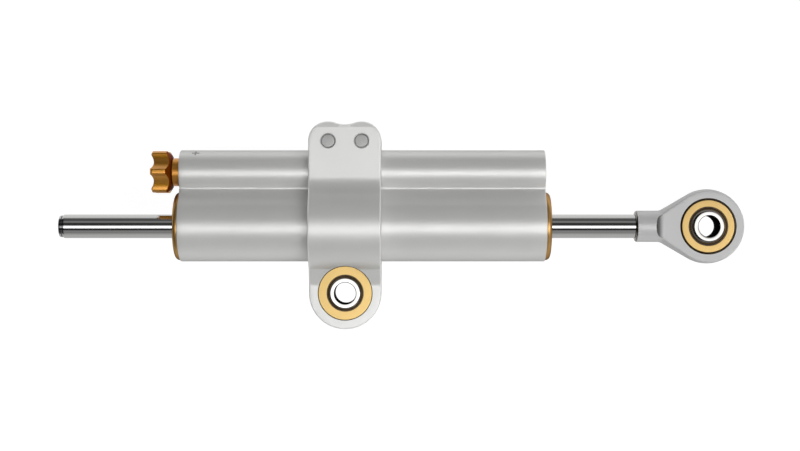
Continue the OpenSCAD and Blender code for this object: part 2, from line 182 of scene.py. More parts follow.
# ---------------------------------------------------------------- materials
class Look:
    """A procedural material on one Principled shader."""

    def __init__(self, name, colour, metallic, roughness, **sockets):
        self.m = bpy.data.materials.new(name)
        self.m.use_nodes = True
        self.t = self.m.node_tree
        self.b = self.t.nodes["Principled BSDF"]
        self.b.inputs["Base Color"].default_value = (*colour, 1)
        self.b.inputs["Metallic"].default_value = metallic
        self.b.inputs["Roughness"].default_value = roughness
        for k, v in sockets.items():
            self.b.inputs[k.replace("_", " ")].default_value = v
        self.coord = self.t.nodes.new("ShaderNodeTexCoord").outputs["Object"]
        self.bump = None

    def noise(self, scale, stretch=(1, 1, 1), detail=3, rough=0.55, offset=(0, 0, 0)):
        m = self.t.nodes.new("ShaderNodeMapping")
        m.inputs["Scale"].default_value = stretch
        m.inputs["Location"].default_value = offset
        self.t.links.new(self.coord, m.inputs["Vector"])
        n = self.t.nodes.new("ShaderNodeTexNoise")
        n.inputs["Scale"].default_value = scale
        n.inputs["Detail"].default_value = detail
        n.inputs["Roughness"].default_value = rough
        self.t.links.new(m.outputs["Vector"], n.inputs["Vector"])
        return n.outputs["Fac"]

    def spread(self, fac, low, high, a=0.3, b=0.7):
        """fac from a..b to low..high."""
        r = self.t.nodes.new("ShaderNodeMapRange")
        for k, v in zip(("From Min", "From Max", "To Min", "To Max"), (a, b, low, high)):
            r.inputs[k].default_value = v
        self.t.links.new(fac, r.inputs["Value"])
        return r.outputs["Result"]

    def colours(self, fac, stops):
        r = self.t.nodes.new("ShaderNodeValToRGB")
        e = r.color_ramp.elements
        while len(e) < len(stops):
            e.new(0.5)
        for el, (pos, c) in zip(e, stops):
            el.position, el.color = pos, (*c, 1)
        self.t.links.new(fac, r.inputs["Fac"])
        self.t.links.new(r.outputs["Color"], self.b.inputs["Base Color"])
        return self

    def rough(self, fac, low, high):
        self.t.links.new(self.spread(fac, low, high), self.b.inputs["Roughness"])
        return self

    def relief(self, fac, strength, depth):
        """Adds a bump of depth millimetres."""
        n = self.t.nodes.new("ShaderNodeBump")
        n.inputs["Strength"].default_value = strength
        n.inputs["Distance"].default_value = depth * MM
        self.t.links.new(fac, n.inputs["Height"])
        if self.bump:
            self.t.links.new(self.bump, n.inputs["Normal"])
        self.bump = n.outputs["Normal"]
        self.t.links.new(self.bump, self.b.inputs["Normal"])
        return self


def shade_range(c, k):
    return tuple(min(1, v * k) for v in c)


def anodised(name, colour, roughness, grain=2600, stretch=(1, 1, 1), var=0.03, relief=0.0012, metallic=1.0, **sockets):
    k = Look(name, colour, metallic, roughness, **sockets)
    broad = k.noise(55, detail=2)
    k.colours(broad, [(0.3, shade_range(colour, 1 - var)), (0.7, shade_range(colour, 1 + var * 0.6))])
    fine = k.noise(grain, stretch, detail=2)
    k.rough(fine, roughness - 0.035, roughness + 0.035)
    k.relief(fine, 0.5, relief)
    return k


SILVER = (0.77, 0.77, 0.756)
EDGE = (0.0, 0.0, 0.0, 1)
tube_look = anodised("silver_tube", SILVER, 0.42, 2400, (0.06, 1, 1), 0.02, metallic=0.47, Specular_Tint=EDGE)
clamp_look = anodised("silver_clamp", SILVER, 0.42, 2600, (1, 1, 1), 0.02, metallic=0.47, Specular_Tint=EDGE)
# painted highlight: a near-white, almost non-metallic silver for the clamp's rounded edges
rim_painted_highlight_look = anodised("silver_clamp_rim_painted_highlight", (0.95, 0.95, 0.935), 0.5, 2600, (1, 1, 1), 0.02, metallic=0.05, Specular_Tint=EDGE)
mark_look = anodised("engraved_silver", (0.42, 0.42, 0.41), 0.55, 2600, (1, 1, 1), 0.02, metallic=0.4)
end_look = anodised("silver_rod_end", (0.68, 0.68, 0.677), 0.54, 2600, (1, 1, 1), 0.02, metallic=0.25, Specular_Tint=EDGE)
neck_look = anodised("silver_rod_end_side", (0.685, 0.685, 0.682), 0.47, 2600, (1, 1, 1), 0.02, metallic=0.3, Specular_Tint=EDGE)
plug_look = anodised("silver_plug", SILVER, 0.40, metallic=0.6)
ring_look = anodised("gold_ring", (0.81, 0.573, 0.222), 0.46, 2200, var=0.03, relief=0.0008, metallic=0.7)
rod_ring_look = anodised("gold_rod_ring", (0.68, 0.47, 0.18), 0.46, 2200, var=0.03, relief=0.0008, metallic=0.7)
cap_look = anodised("gold_cap", (0.53, 0.31, 0.112), 0.36, 2600, var=0.06, metallic=0.9, Coat_Weight=0.1, Coat_Roughness=0.25, Specular_Tint=EDGE)
knob_look = anodised("amber_knob", (0.54, 0.228, 0.008), 0.38, 2600, var=0.08, metallic=0.9, Coat_Weight=0.8, Coat_Roughness=0.25)
housing_look = anodised("amber_housing", (0.62, 0.265, 0.03), 0.40, 2600, var=0.06, metallic=0.8, Coat_Weight=0.5, Coat_Roughness=0.25)
# painted shade: a dark amber for the knob's faces that look back towards the body
knob_back_painted_shade_look = anodised("amber_knob_back_painted_shade", (0.25, 0.052, 0.001), 0.5, 2600, var=0.05, metallic=0.6, Specular_Tint=(0, 0, 0, 1))
chrome_look = Look("chrome_rod", (0.48, 0.478, 0.473), 1.0, 0.09)
chrome_look.rough(chrome_look.noise(900, (0.02, 1, 1), detail=3), 0.06, 0.12)
ball_look = Look("chrome_ball", (0.42, 0.41, 0.395), 1.0, 0.07)
ball_look.rough(ball_look.noise(700, detail=3), 0.04, 0.09)
# painted shade: a dark chrome for the ball's sphere, the neck's shoulder and the chamfers round the rod end's eye bore
chrome_painted_shade_look = Look("dark_chrome_painted_shade", (0.17, 0.155, 0.14), 1.0, 0.12)
chrome_painted_shade_look.rough(chrome_painted_shade_look.noise(700, detail=3), 0.08, 0.18)
# painted shade: dark grey for the narrow groove behind the rod's tip
groove_painted_shade_look = Look("dark_groove_painted_shade", (0.17, 0.17, 0.17), 1.0, 0.15)
# painted shade: the run-outs get darker towards the neck
run_out_painted_shade_look = Look("painted_shade_run_out", (0.3, 0.3, 0.3), 0.25, 0.5, Specular_Tint=EDGE)
across = run_out_painted_shade_look.t.nodes.new("ShaderNodeSeparateXYZ")
run_out_painted_shade_look.t.links.new(run_out_painted_shade_look.coord, across.inputs[0])
run_out_painted_shade_look.colours(run_out_painted_shade_look.spread(across.outputs["X"], 0, 1, 0.1164, 0.1193),
                     [(0, (0.09, 0.09, 0.09)), (0.35, (0.17, 0.17, 0.17)), (0.75, (0.42, 0.42, 0.42)), (1, (0.68, 0.68, 0.677))])
run_out_painted_shade_look.relief(run_out_painted_shade_look.noise(2600, (1, 0.1, 1), detail=2), 0.5, 0.0012)
# painted shade: dark brown for the gold rings' inner lip and the flanks of their outer grooves
ring_edge_painted_shade_look = anodised("gold_ring_edge_painted_shade", (0.13, 0.075, 0.03), 0.4, 2200, metallic=0.7)
# painted shade: near-black for the inside of the balls' bores
bore_painted_shade_look = Look("ball_bore_painted_shade", (0.012, 0.0115, 0.012), 0.0, 0.8, Specular_IOR_Level=0.0)
bore_painted_shade_look.colours(bore_painted_shade_look.noise(900, detail=3), [(0.3, (0.009, 0.009, 0.009)), (0.7, (0.016, 0.015, 0.016))])
steel_look = Look("steel_screw", (0.40, 0.40, 0.395), 0.6, 0.42)
steel_look.rough(steel_look.noise(1500, detail=3), 0.36, 0.50)
steel_look.relief(steel_look.noise(2200, detail=2), 0.4, 0.002)
liner_look = Look("liner_fabric", (0.10, 0.065, 0.035), 0.0, 0.55)
liner_look.rough(liner_look.noise(3000, detail=2), 0.45, 0.65)
liner_look.colours(liner_look.noise(1500, detail=2), [(0.3, (0.07, 0.045, 0.025)), (0.7, (0.14, 0.09, 0.05))])
bronze_look = Look("bronze_bush", (0.60, 0.36, 0.20), 1.0, 0.34)
bronze_look.rough(bronze_look.noise(1200, detail=3), 0.28, 0.42)
ptfe_look = Look("ptfe_ring", (0.78, 0.75, 0.68), 0.0, 0.45)
ptfe_look.rough(ptfe_look.noise(900, detail=3), 0.38, 0.52)
rubber_look = Look("black_rubber", (0.018, 0.018, 0.019), 0.0, 0.5)
rubber_look.rough(rubber_look.noise(1600, detail=3), 0.42, 0.60)
urethane_look = Look("dark_urethane", (0.05, 0.05, 0.055), 0.0, 0.45)
urethane_look.rough(urethane_look.noise(1600, detail=3), 0.38, 0.55)

CAD_LOOKS = {
    "guide_bush": bronze_look, "rod_seal": urethane_look, "rod_wiper": rubber_look, "o_ring": rubber_look,
    "adjuster_housing": housing_look, "detent_ball": ball_look, "spring": steel_look, "valve_seat": cap_look,
    "reservoir_plug": plug_look, "circlip": steel_look, "expansion_piston": plug_look, "piston_ring": ptfe_look,
    "piston_clips": steel_look, "bump_washers": urethane_look, "piston_rod": chrome_look, "piston": plug_look,
    "adjuster_spindle": steel_look, "knob_screw": steel_look, "needle": steel_look, "race_liner": liner_look,
    "bearing_ring": ring_look, "ball": ball_look, "cap": cap_look, "clamp_band": clamp_look, "rod_end": end_look,
    "body_tube": tube_look, "pinch_screws": steel_look, "adjuster_knob": knob_look,
}
for n, o in nodes.items():
    key = next(k for k in sorted(CAD_LOOKS, key=len, reverse=True) if k in n)
    o.data.materials.clear()
    o.data.materials.append(CAD_LOOKS[key].m)


# ---------------------------------------------------------------- body tube
WEB_A, WEB_F = 40.0, 1.2
_l, _s = TUBE_R + WEB_F, ADJ_R + WEB_F
_b = 2 * (-_l * cosd(WEB_A) * sind(WEB_A) + (_l * sind(WEB_A) - GAP) * cosd(WEB_A))
_k = (_l * cosd(WEB_A)) ** 2 + (_l * sind(WEB_A) - GAP) ** 2 - _s * _s
_t = (-_b - math.sqrt(_b * _b - 4 * _k)) / 2
WEB_C = (_l * cosd(WEB_A) - _t * sind(WEB_A), _l * sind(WEB_A) + _t * cosd(WEB_A))
MARK_A, MARK_X = 58.0, -56.0
LONG, SHORT = math.degrees(1.4 / ADJ_R), math.degrees(0.3 / ADJ_R)
LIP = 0.12


def arc_angles(a0, a1, step, extra=()):
    n = max(2, math.ceil(abs(a1 - a0) / step))
    a = [a0 + (a1 - a0) * i / n for i in range(n + 1)]
    a = [v for v in a if all(abs(v - e) > 0.35 for e in extra) or v in (a0, a1)] + list(extra)
    return sorted(a, reverse=a1 < a0)


def body_half(c):
    """Right half of the twin-bore outline grown by c, from the bottom to the top: (across, up, angle on the adjuster tube or None)."""
    out = [((TUBE_R + c) * cosd(a), (TUBE_R + c) * sind(a), None) for a in arc_angles(-90, WEB_A, 1.6)]
    # concave fillet between the flat of the web and the adjuster tube
    f = WEB_F - c
    a0 = 180 + WEB_A
    a1 = math.degrees(math.atan2(GAP - WEB_C[1], -WEB_C[0]))
    out += [(WEB_C[0] + f * cosd(a), WEB_C[1] + f * sind(a), None) for a in arc_angles(a0, a1, 10)]
    start = math.degrees(math.atan2(WEB_C[1] - GAP, WEB_C[0]))
    marks = [MARK_A + s * d for s in (-1, 1) for d in (LONG, LONG - LIP, SHORT, SHORT - LIP)]
    out += [((ADJ_R + c) * cosd(a), GAP + (ADJ_R + c) * sind(a), a) for a in arc_angles(start, 90, 1.8, marks)[1:]]
    return out


def body_ring(x, c, engraved=False):
    right = body_half(c)
    ring = []
    for z, v, a in right:
        if engraved and a is not None and engraved(x, a):
            k = (ADJ_R - 0.22) / ADJ_R
            z, v = z * k, GAP + (v - GAP) * k
        ring.append((x, ROD_Y + v, z))
    left = [(x, ROD_Y + v, -z) for z, v, _ in reversed(body_half(c)[1:-1])]
    return ring + left


def in_mark(x, a):
    dx, da = abs(x - MARK_X), abs(a - MARK_A)
    e = 1e-4
    return (dx <= 1.4 - 0.02 + e and da <= SHORT - LIP + e) or (dx <= 0.3 - 0.02 + e and da <= LONG - LIP + e)


def circle_ring(x, y, r, seg=128):
    return [(x, y + r * math.sin(2 * math.pi * k / seg), r * math.cos(2 * math.pi * k / seg)) for k in range(seg)]


def make_body():
    b = 0.3
    bevel = [(b * (1 - sind(a)), -b * (1 - cosd(a))) for a in (90, 67.5, 45, 22.5, 0)]
    stations = [(X0 + d, c) for d, c in bevel] + [(X0 + 2, 0)]
    stations += [(MARK_X + s * d, 0) for s, d in ((-1, 1.4), (-1, 1.38), (-1, 0.3), (-1, 0.28), (1, 0.28), (1, 0.3), (1, 1.38), (1, 1.4))]
    stations += [(x, 0) for x in (-50, -40, -25, -10, 10, 25, 40, 55, 68)] + [(X1 - d, c) for d, c in reversed(bevel)]
    rings = [body_ring(x, c, in_mark) for x, c in stations]
    verts, faces = loft(rings)

    def add(rings):
        v, f = loft(rings)
        base = len(verts)
        verts.extend(v)
        faces.extend([[base + i for i in q] for q in f])

    main = [(X0, THREAD_R + 0.25), (X0 + 0.25, THREAD_R), (X0 + 7, THREAD_R), (X0 + 7, BORE_R), (X1 - 7, BORE_R),
            (X1 - 7, THREAD_R), (X1 - 0.25, THREAD_R), (X1, THREAD_R + 0.25)]
    adj = [(X0, ADJ_BORE_R + 0.2), (X0 + 0.2, ADJ_BORE_R), (-27.4, ADJ_BORE_R), (-27.4, 4.6), (51.5, 4.6), (51.5, ADJ_BORE_R),
           (72.5, ADJ_BORE_R), (72.5, 6.2), (73.5, 6.2), (73.5, ADJ_BORE_R), (X1 - 0.2, ADJ_BORE_R), (X1, ADJ_BORE_R + 0.2)]
    add([circle_ring(x, ROD_Y, r) for x, r in main])
    add([circle_ring(x, ADJ_Y, r) for x, r in adj])
    for x in (X0, X1):
        loops = [body_ring(x, -b), circle_ring(x, ROD_Y, THREAD_R + 0.25), circle_ring(x, ADJ_Y, ADJ_BORE_R + 0.2)]
        flat = [p for loop in loops for p in loop]
        base = len(verts)
        verts.extend(flat)
        faces.extend([[base + i for i in t] for t in tessellate_polygon([[Vector((y, z, 0)) for _, y, z in loop] for loop in loops])])
    return new_object("body_shell", verts, faces, 28)


paint(piece(make_body(), "body", "silver", tube_look.m, "body_tube"), mark_look,
      lambda c, n: abs(c.x - MARK_X) < 1.6 and c.z > 0 and c.y > ADJ_Y + 4 and 6 < math.hypot(c.y - ADJ_Y, c.z) < ADJ_R - 0.06)


# ---------------------------------------------------------------- end caps
def cap_profile():
    """(distance inwards from the body's end face, radius), as for the left end."""
    pts = [(-1.9, 7.0, 0.25), (-1.9, 11.25), *[(-0.4 - 1.5 * sind(a), 11.25 + 1.5 * cosd(a)) for a in (80, 70, 60, 50, 40, 30, 20, 10, 0)],
           (0, 12.75, 0.1), (0, 11.25), (6.8, 11.25), (6.8, 10.45), (21.5, 10.45), (22, 9.95), (22, 5.75), (12, 5.75),
           (12, 4.8), (8, 4.8), (8, 7.2), (4, 7.2), (4, 4.8), (1.5, 4.8), (1.5, 7.0)]
    return rounded(pts, closed=True)


def make_cap(name, end):
    profile = [(X0 + a, r) if end < 0 else (X1 - a, r) for a, r in cap_profile()]
    o = lathe(name, profile, "x", (ROD_Y, 0), 192)
    for k in range(4):
        y, z = ROD_Y + 9.3 * sind(45 + 90 * k), 9.3 * cosd(45 + 90 * k)
        span = (X0 - 4, X0 + 1.6) if end < 0 else (X1 - 1.6, X1 + 4)
        apply_cut(o, drum(1.1, *span, (y, z), 48, "x"))
    return o


piece(make_cap("left_cap_shell", -1), "body", "gold", cap_look.m, "left_end_cap")
piece(make_cap("right_cap_shell", 1), "body", "gold", cap_look.m, "right_end_cap")


# ---------------------------------------------------------------- clamp
UP_F = 10.5
# below the ring: a small fillet, a ramp and a wide fillet on to the eye's flat
FOOT, RAMP, FOOT_R, NOOK_R = -23.05, 18.0, 6.0, 1.8
FOOT_C = (5.2 + FOOT_R, FOOT)
RAMP_0 = (FOOT_C[0] - FOOT_R * cosd(RAMP), FOOT + FOOT_R * sind(RAMP))
_p = (RAMP_0[0] + NOOK_R * cosd(RAMP), RAMP_0[1] - NOOK_R * sind(RAMP))
_d = _p[0] * sind(RAMP) + _p[1] * cosd(RAMP)
RAMP_L = -_d - math.sqrt(_d * _d - _p[0] ** 2 - _p[1] ** 2 + (RING_R + NOOK_R) ** 2)
RAMP_1 = (RAMP_0[0] + RAMP_L * sind(RAMP), RAMP_0[1] + RAMP_L * cosd(RAMP))
NOOK_C = (_p[0] + RAMP_L * sind(RAMP), _p[1] + RAMP_L * cosd(RAMP))
UP_C = (10.8 + UP_F, math.sqrt((RING_R + UP_F) ** 2 - (10.8 + UP_F) ** 2))
LOW_T = RING_R * NOOK_C[1] / (RING_R + NOOK_R)
UP_T = RING_R * UP_C[1] / (RING_R + UP_F)
FLANGE_V = 36.8


def thick(y):
    """Half thickness of the clamp at y."""
    v = y - ROD_Y
    if v <= FOOT:
        return 5.2
    if v < RAMP_0[1]:
        return FOOT_C[0] - math.sqrt(FOOT_R ** 2 - (v - FOOT) ** 2)
    if v < RAMP_1[1]:
        return RAMP_0[0] + (v - RAMP_0[1]) * math.tan(math.radians(RAMP))
    if v < LOW_T:
        return NOOK_C[0] - math.sqrt(NOOK_R ** 2 - (v - NOOK_C[1]) ** 2)
    if v <= UP_T:
        return math.sqrt(RING_R ** 2 - v * v)
    if v < UP_C[1]:
        return UP_C[0] - math.sqrt(UP_F ** 2 - (UP_C[1] - v) ** 2)
    if v <= FLANGE_V:
        return 10.8
    return 10.8 - (v - FLANGE_V)


def clamp_rows():
    """Heights y of the rows of points, close together where the profile curves."""
    rows = [FOOT + FOOT_R * sind(a) for a in arc_angles(0, RAMP, 2.5)]
    rows += [RAMP_0[1] + (RAMP_1[1] - RAMP_0[1]) * i / 5 for i in range(1, 5)]
    rows += [NOOK_C[1] + NOOK_R * sind(a) for a in arc_angles(RAMP, math.degrees(math.atan2(-NOOK_C[1], NOOK_C[0])), 5)]
    a0, a1 = math.degrees(math.asin(LOW_T / RING_R)), math.degrees(math.asin(UP_T / RING_R))
    rows += [RING_R * sind(a) for a in arc_angles(a0, a1, 2.0)][1:-1]
    up = math.degrees(math.asin((UP_C[1] - UP_T) / UP_F))
    rows += [UP_C[1] - UP_F * sind(a) for a in arc_angles(up, 0, 2.0)]
    rows += [20.5, 23, 26, 29, 32, 34.5, 36.2, FLANGE_V, 37.3, 38, 38.7]
    return [ROD_Y + v for v in sorted(rows)]


HUMP_R, HUMP_X, TOP_Y, VALLEY_H = 7.3, 6.2, 56.7, 37.8
VALLEY_R = (HUMP_X ** 2 + (VALLEY_H - 31.7) ** 2 - HUMP_R ** 2) / (2 * (HUMP_R - (VALLEY_H - 31.7)))
VALLEY_Y = ROD_Y + VALLEY_H + VALLEY_R


def clamp_outline():
    """Points and outward directions round the clamp as seen along the eye."""
    crease = math.degrees(math.asin((ROD_Y + FLANGE_V - TOP_Y) / HUMP_R))
    touch = math.degrees(math.atan2(VALLEY_Y - TOP_Y, -HUMP_X))
    right = [(EYE_R * cosd(a), EYE_R * sind(a), cosd(a), sind(a)) for a in arc_angles(-90, 0, 2.5)]
    right += [(EYE_R, y, 1, 0) for y in clamp_rows() if 0.3 < y < TOP_Y - 0.3]
    right += [(HUMP_X + HUMP_R * cosd(a), TOP_Y + HUMP_R * sind(a), cosd(a), sind(a)) for a in arc_angles(0, touch, 3, [crease])]
    lip = math.degrees(math.atan2(TOP_Y - VALLEY_Y, HUMP_X)) % 360
    right += [(VALLEY_R * cosd(a), VALLEY_Y + VALLEY_R * sind(a), -cosd(a), -sind(a)) for a in arc_angles(lip, 270, 6)][1:]
    left = [(-x, y, -nx, ny) for x, y, nx, ny in reversed(right[1:-1])]
    return right + left


def make_clamp():
    b = 0.45
    line = clamp_outline()
    n = len(line)
    bands = [(b * (1 - cosd(a)), b * (1 - sind(a))) for a in (0, 18, 36, 54, 72, 90)]
    front, faces = [], []
    for d, drop in bands:
        front += [(x - nx * d, y - ny * d, thick(y - ny * d) - drop) for x, y, nx, ny in line]
    for j in range(len(bands) - 1):
        for k in range(n):
            m = (k + 1) % n
            faces.append([j * n + k, j * n + m, (j + 1) * n + m, (j + 1) * n + k])
    inner = [Vector(p[:2]) for p in front[-n:]]

    def width(y):
        """Half width inside the innermost band."""
        if y <= 0:
            return math.sqrt(max(0, (EYE_R - b) ** 2 - y * y))
        if y <= TOP_Y:
            return EYE_R - b
        return HUMP_X + math.sqrt(max(0, (HUMP_R - b) ** 2 - (y - TOP_Y) ** 2))

    points = list(inner)
    for y in [-11.5, -8.5, -5.5, -2.5, 0.0] + [r for r in clamp_rows() if r > 1]:
        w = width(y) - 0.5
        low = 0
        if y > VALLEY_Y - VALLEY_R - b - 0.4:
            low = math.sqrt(max(0, (VALLEY_R + b + 0.5) ** 2 - (y - VALLEY_Y) ** 2))
        cols = max(2, math.ceil(2 * w / 1.3))
        points += [Vector((x, y)) for i in range(cols + 1) if abs(x := -w + 2 * w * i / cols) >= low]
    edges = [(k, (k + 1) % n) for k in range(n)]
    # the folds where the flat faces of the flange and of the eye start
    for fold in (ROD_Y + FOOT, ROD_Y + FLANGE_V):
        row = [i for i in range(n, len(points)) if abs(points[i].y - fold) < 1e-6]
        ends = [min((k for k in range(n) if inner[k].x * side > 8 or fold < 30), key=lambda k: abs(inner[k].y - fold) + (9 if inner[k].x * side < 0 else 0)) for side in (-1, 1)]
        row = [ends[0]] + row + [ends[1]]
        edges += list(zip(row[:-1], row[1:]))
    v2, _, f2, *_ = delaunay_2d_cdt(points, edges, [], 1, 1e-5)
    first = len(front)
    front += [(p.x, p.y, thick(p.y)) for p in v2]
    faces += [[first + i for i in f] for f in f2]
    size = len(front)
    verts = front + [(x, y, -z) for x, y, z in front]
    faces += [[size + i for i in reversed(f)] for f in faces]
    faces += [[k, (k + 1) % n, size + (k + 1) % n, size + k] for k in range(n)]
    o = new_object("clamp_shell", verts, faces, 30)
    rings = [[(x, y, z) for _, y, z in body_ring(0, 0.05)] for x in (-20, 20)]
    v, f = loft(rings)
    m = len(rings[0])
    o = apply_cut(o, new_object("cutter", v, f + [list(range(m)), list(range(m, 2 * m))]), 30)
    box = [(x, y, z) for x in (-20, 20) for y in (50.4, 80) for z in (-1, 1)]
    quads = [(0, 1, 3, 2), (4, 5, 7, 6), (0, 1, 5, 4), (2, 3, 7, 6), (0, 2, 6, 4), (1, 3, 7, 5)]
    apply_cut(o, new_object("cutter", box, quads), 30)
    apply_cut(o, lathe("cutter", [(-20, 0), (-20, 10.25), (20, 10.25), (20, 0)], "z", (0, 0), 192), 30)
    for s in (-1, 1):
        hole = [(-20, 0), (-20, 4.35), (-5.5, 4.35), (-5.5, 2.55), (10.45, 2.55), (10.8, 2.95), (13, 5.15), (13, 0)]
        apply_cut(o, lathe("cutter", hole, "z", (s * HUMP_X, TOP_Y), 96), 30)
    return o


def on_painted_highlight_rim(c, n):
    """The rounded edges of the clamp that look left or away from the tubes, which get a painted highlight."""
    if not 0.1 < abs(n.z) < 0.98 or n.x > 0.5:
        return False
    if c.y < 0:
        return math.hypot(c.x, c.y) > EYE_R - 0.47
    return abs(c.x) > EYE_R - 0.47 if c.y < TOP_Y else math.hypot(abs(c.x) - HUMP_X, c.y - TOP_Y) > HUMP_R - 0.47


# painted highlight on the clamp's rounded edges that look left or away from the tubes
paint(piece(make_clamp(), "clamp", "silver", clamp_look.m, "clamp_band"), rim_painted_highlight_look, on_painted_highlight_rim)


# ---------------------------------------------------------------- pinch screws
def make_screw(name, x):
    p = rounded([(-10.4, 0), (-10.4, 4.25, 0.3), (-5.55, 4.25, 0.1), (-5.55, 2.5), (10.55, 2.5, 0.35), (10.55, 0)])
    o = lathe(name, p, "z", (x, TOP_Y), 96)
    hexagon = lathe("cutter", [(-12, 0), (-12, 2.5), (-7.9, 2.31), (-7.9, 0)], "z", (x, TOP_Y), 6)
    return apply_cut(o, hexagon)


screw_a = piece(make_screw("pinch_screw_left", -HUMP_X), "clamp", "steel", steel_look.m, "pinch_screws")
screw_b = piece(make_screw("pinch_screw_right", HUMP_X), "clamp", "steel", steel_look.m)


# ---------------------------------------------------------------- bearings
def make_bearing(tag, at, half, liner_half, groove, outer, inner, eye, gold):
    race = 8.3
    a = math.degrees(math.asin(half / race))
    hollow = [(race * sind(t), race * cosd(t)) for t in arc_angles(a, -a, 3)]
    g = 10.23 - groove
    lip = hollow[0][1]
    ring = rounded([(-half + 0.2, lip), (-half, lip + 0.22), (-half, g, 0.08), (-half + 1, 10.23), (half - 1, 10.23), (half, g, 0.08), (half, lip + 0.22), (half - 0.2, lip)], 12)
    o = lathe(tag + "_bearing_ring_shell", ring + hollow[1:-1], "z", at, 192)
    piece(o, outer, "gold", gold.m, tag + "_bearing_ring")
    # painted shade: the ring's inner lip and the flanks of its outer groove are painted dark brown
    paint(o, ring_edge_painted_shade_look, lambda c, n: math.hypot(c.x - at[0], c.y - at[1]) < lip + 0.2 or (abs(c.z) > half - 1.02 and math.hypot(c.x - at[0], c.y - at[1]) > g + 0.02))
    lo, li = 8.25, 8.05
    a, c = math.degrees(math.asin(liner_half / lo)), math.degrees(math.asin(liner_half / li))
    shell = [(lo * sind(t), lo * cosd(t)) for t in arc_angles(-a, a, 3)] + [(li * sind(t), li * cosd(t)) for t in arc_angles(c, -c, 3)]
    o = lathe(tag + "_race_liner_shell", shell, "z", at, 192)
    piece(o, inner, "liner", liner_look.m, tag + "_race_liner")
    a = math.degrees(math.asin(5.8 / 8.0))
    sphere = [(8.0 * sind(t), 8.0 * cosd(t)) for t in arc_angles(a - 0.6, -a + 0.6, 2.5)]
    ball = rounded([(-5.8, 5.45, 0.12), (-5.8, 4.25, 0.05), (-5.55, 4.0, 0.05), (5.55, 4.0, 0.05), (5.8, 4.25, 0.05), (5.8, 5.45, 0.12), *sphere], 15, closed=True)
    o = lathe(tag + "_ball_shell", ball, "z", at, 192)
    piece(o, eye, "chrome", ball_look.m, tag + "_ball")
    # painted shade: the ball's bore and its chamfers are painted near-black
    paint(o, bore_painted_shade_look, lambda c, n: abs(c.z) < 5.78 and math.hypot(c.x - at[0], c.y - at[1]) < 4.22)
    # painted shade: the ball's sphere between its flats and the ring is painted dark chrome
    paint(o, chrome_painted_shade_look, lambda c, n: abs(c.z) < 5.75 and math.hypot(c.x - at[0], c.y - at[1]) > 5.2)


make_bearing("frame", (0, 0), 4.9, 4.85, 0.26, "clamp", "frame_eye_liner", "frame_eye_ball", ring_look)
make_bearing("rod", (EYE_X, ROD_Y), 4.15, 4.1, 0.5, "rod", "rod_eye_liner", "rod_eye_ball", rod_ring_look)


# ---------------------------------------------------------------- rod
# the tip is slightly domed, with a narrow groove behind it
rod = rounded([(-107.6, 0), (-107.6, 4.04, 0.15), (-106.85, 4.14), (-106.75, 3.98), (-106.3, 3.98), (-106.2, 4.34), (-105.8, 4.47, 0.3), (-105.4, 4.5), (-105, 4.5),
               (-9.5, 4.5), (-9.5, 3.95), (-8.2, 3.95), (-8.2, 4.5),
               (12.8, 4.5), (12.8, 3.95), (14.1, 3.95), (14.1, 4.5), (108.88, 4.5, 0.1), (108.88, 4.0), (116.5, 4.0, 0.4), (116.5, 0)])
rod_shaft = piece(lathe("rod_shaft", rod, "x", (ROD_Y, 0), 192), "rod", "chrome", chrome_look.m, "piston_rod")
# painted shade: the groove behind the tip is painted dark grey
paint(rod_shaft, groove_painted_shade_look, lambda c, n: -106.85 < c.x < -106.2)

END_X, NECK_R, HEAD_R, CONE_A, HEAD_H, BLEND = 108.9, 5.9, 14.0, 30.2, 4.2, 3.5
FLAT_X, RUN_OUT = 119.3, 3.2
TAN_X, TAN_R = EYE_X - HEAD_R * sind(CONE_A), HEAD_R * cosd(CONE_A)
KNEE = TAN_X - (TAN_R - NECK_R) / math.tan(math.radians(CONE_A))
BL = BLEND * math.tan(math.radians(CONE_A / 2))


def smaller(a, b, k):
    h = max(k - abs(a - b), 0) / k
    return min(a, b) - h * h * k / 4


def end_radius(x):
    if x < END_X + 0.9:
        return NECK_R - 0.9 + math.sqrt(max(0, 0.81 - (END_X + 0.9 - x) ** 2))
    if x < KNEE - BL:
        return NECK_R
    if x < KNEE + BL * cosd(CONE_A):
        return NECK_R + BLEND - math.sqrt(BLEND ** 2 - (x - KNEE + BL) ** 2)
    if x < TAN_X:
        return TAN_R - (TAN_X - x) * math.tan(math.radians(CONE_A))
    return math.sqrt(max(0, HEAD_R ** 2 - (x - EYE_X) ** 2))


def end_flat(x):
    if x >= FLAT_X:
        return HEAD_H
    if x > FLAT_X - 0.99 * RUN_OUT:
        return HEAD_H + RUN_OUT - math.sqrt(RUN_OUT ** 2 - (FLAT_X - x) ** 2)
    return 99.0


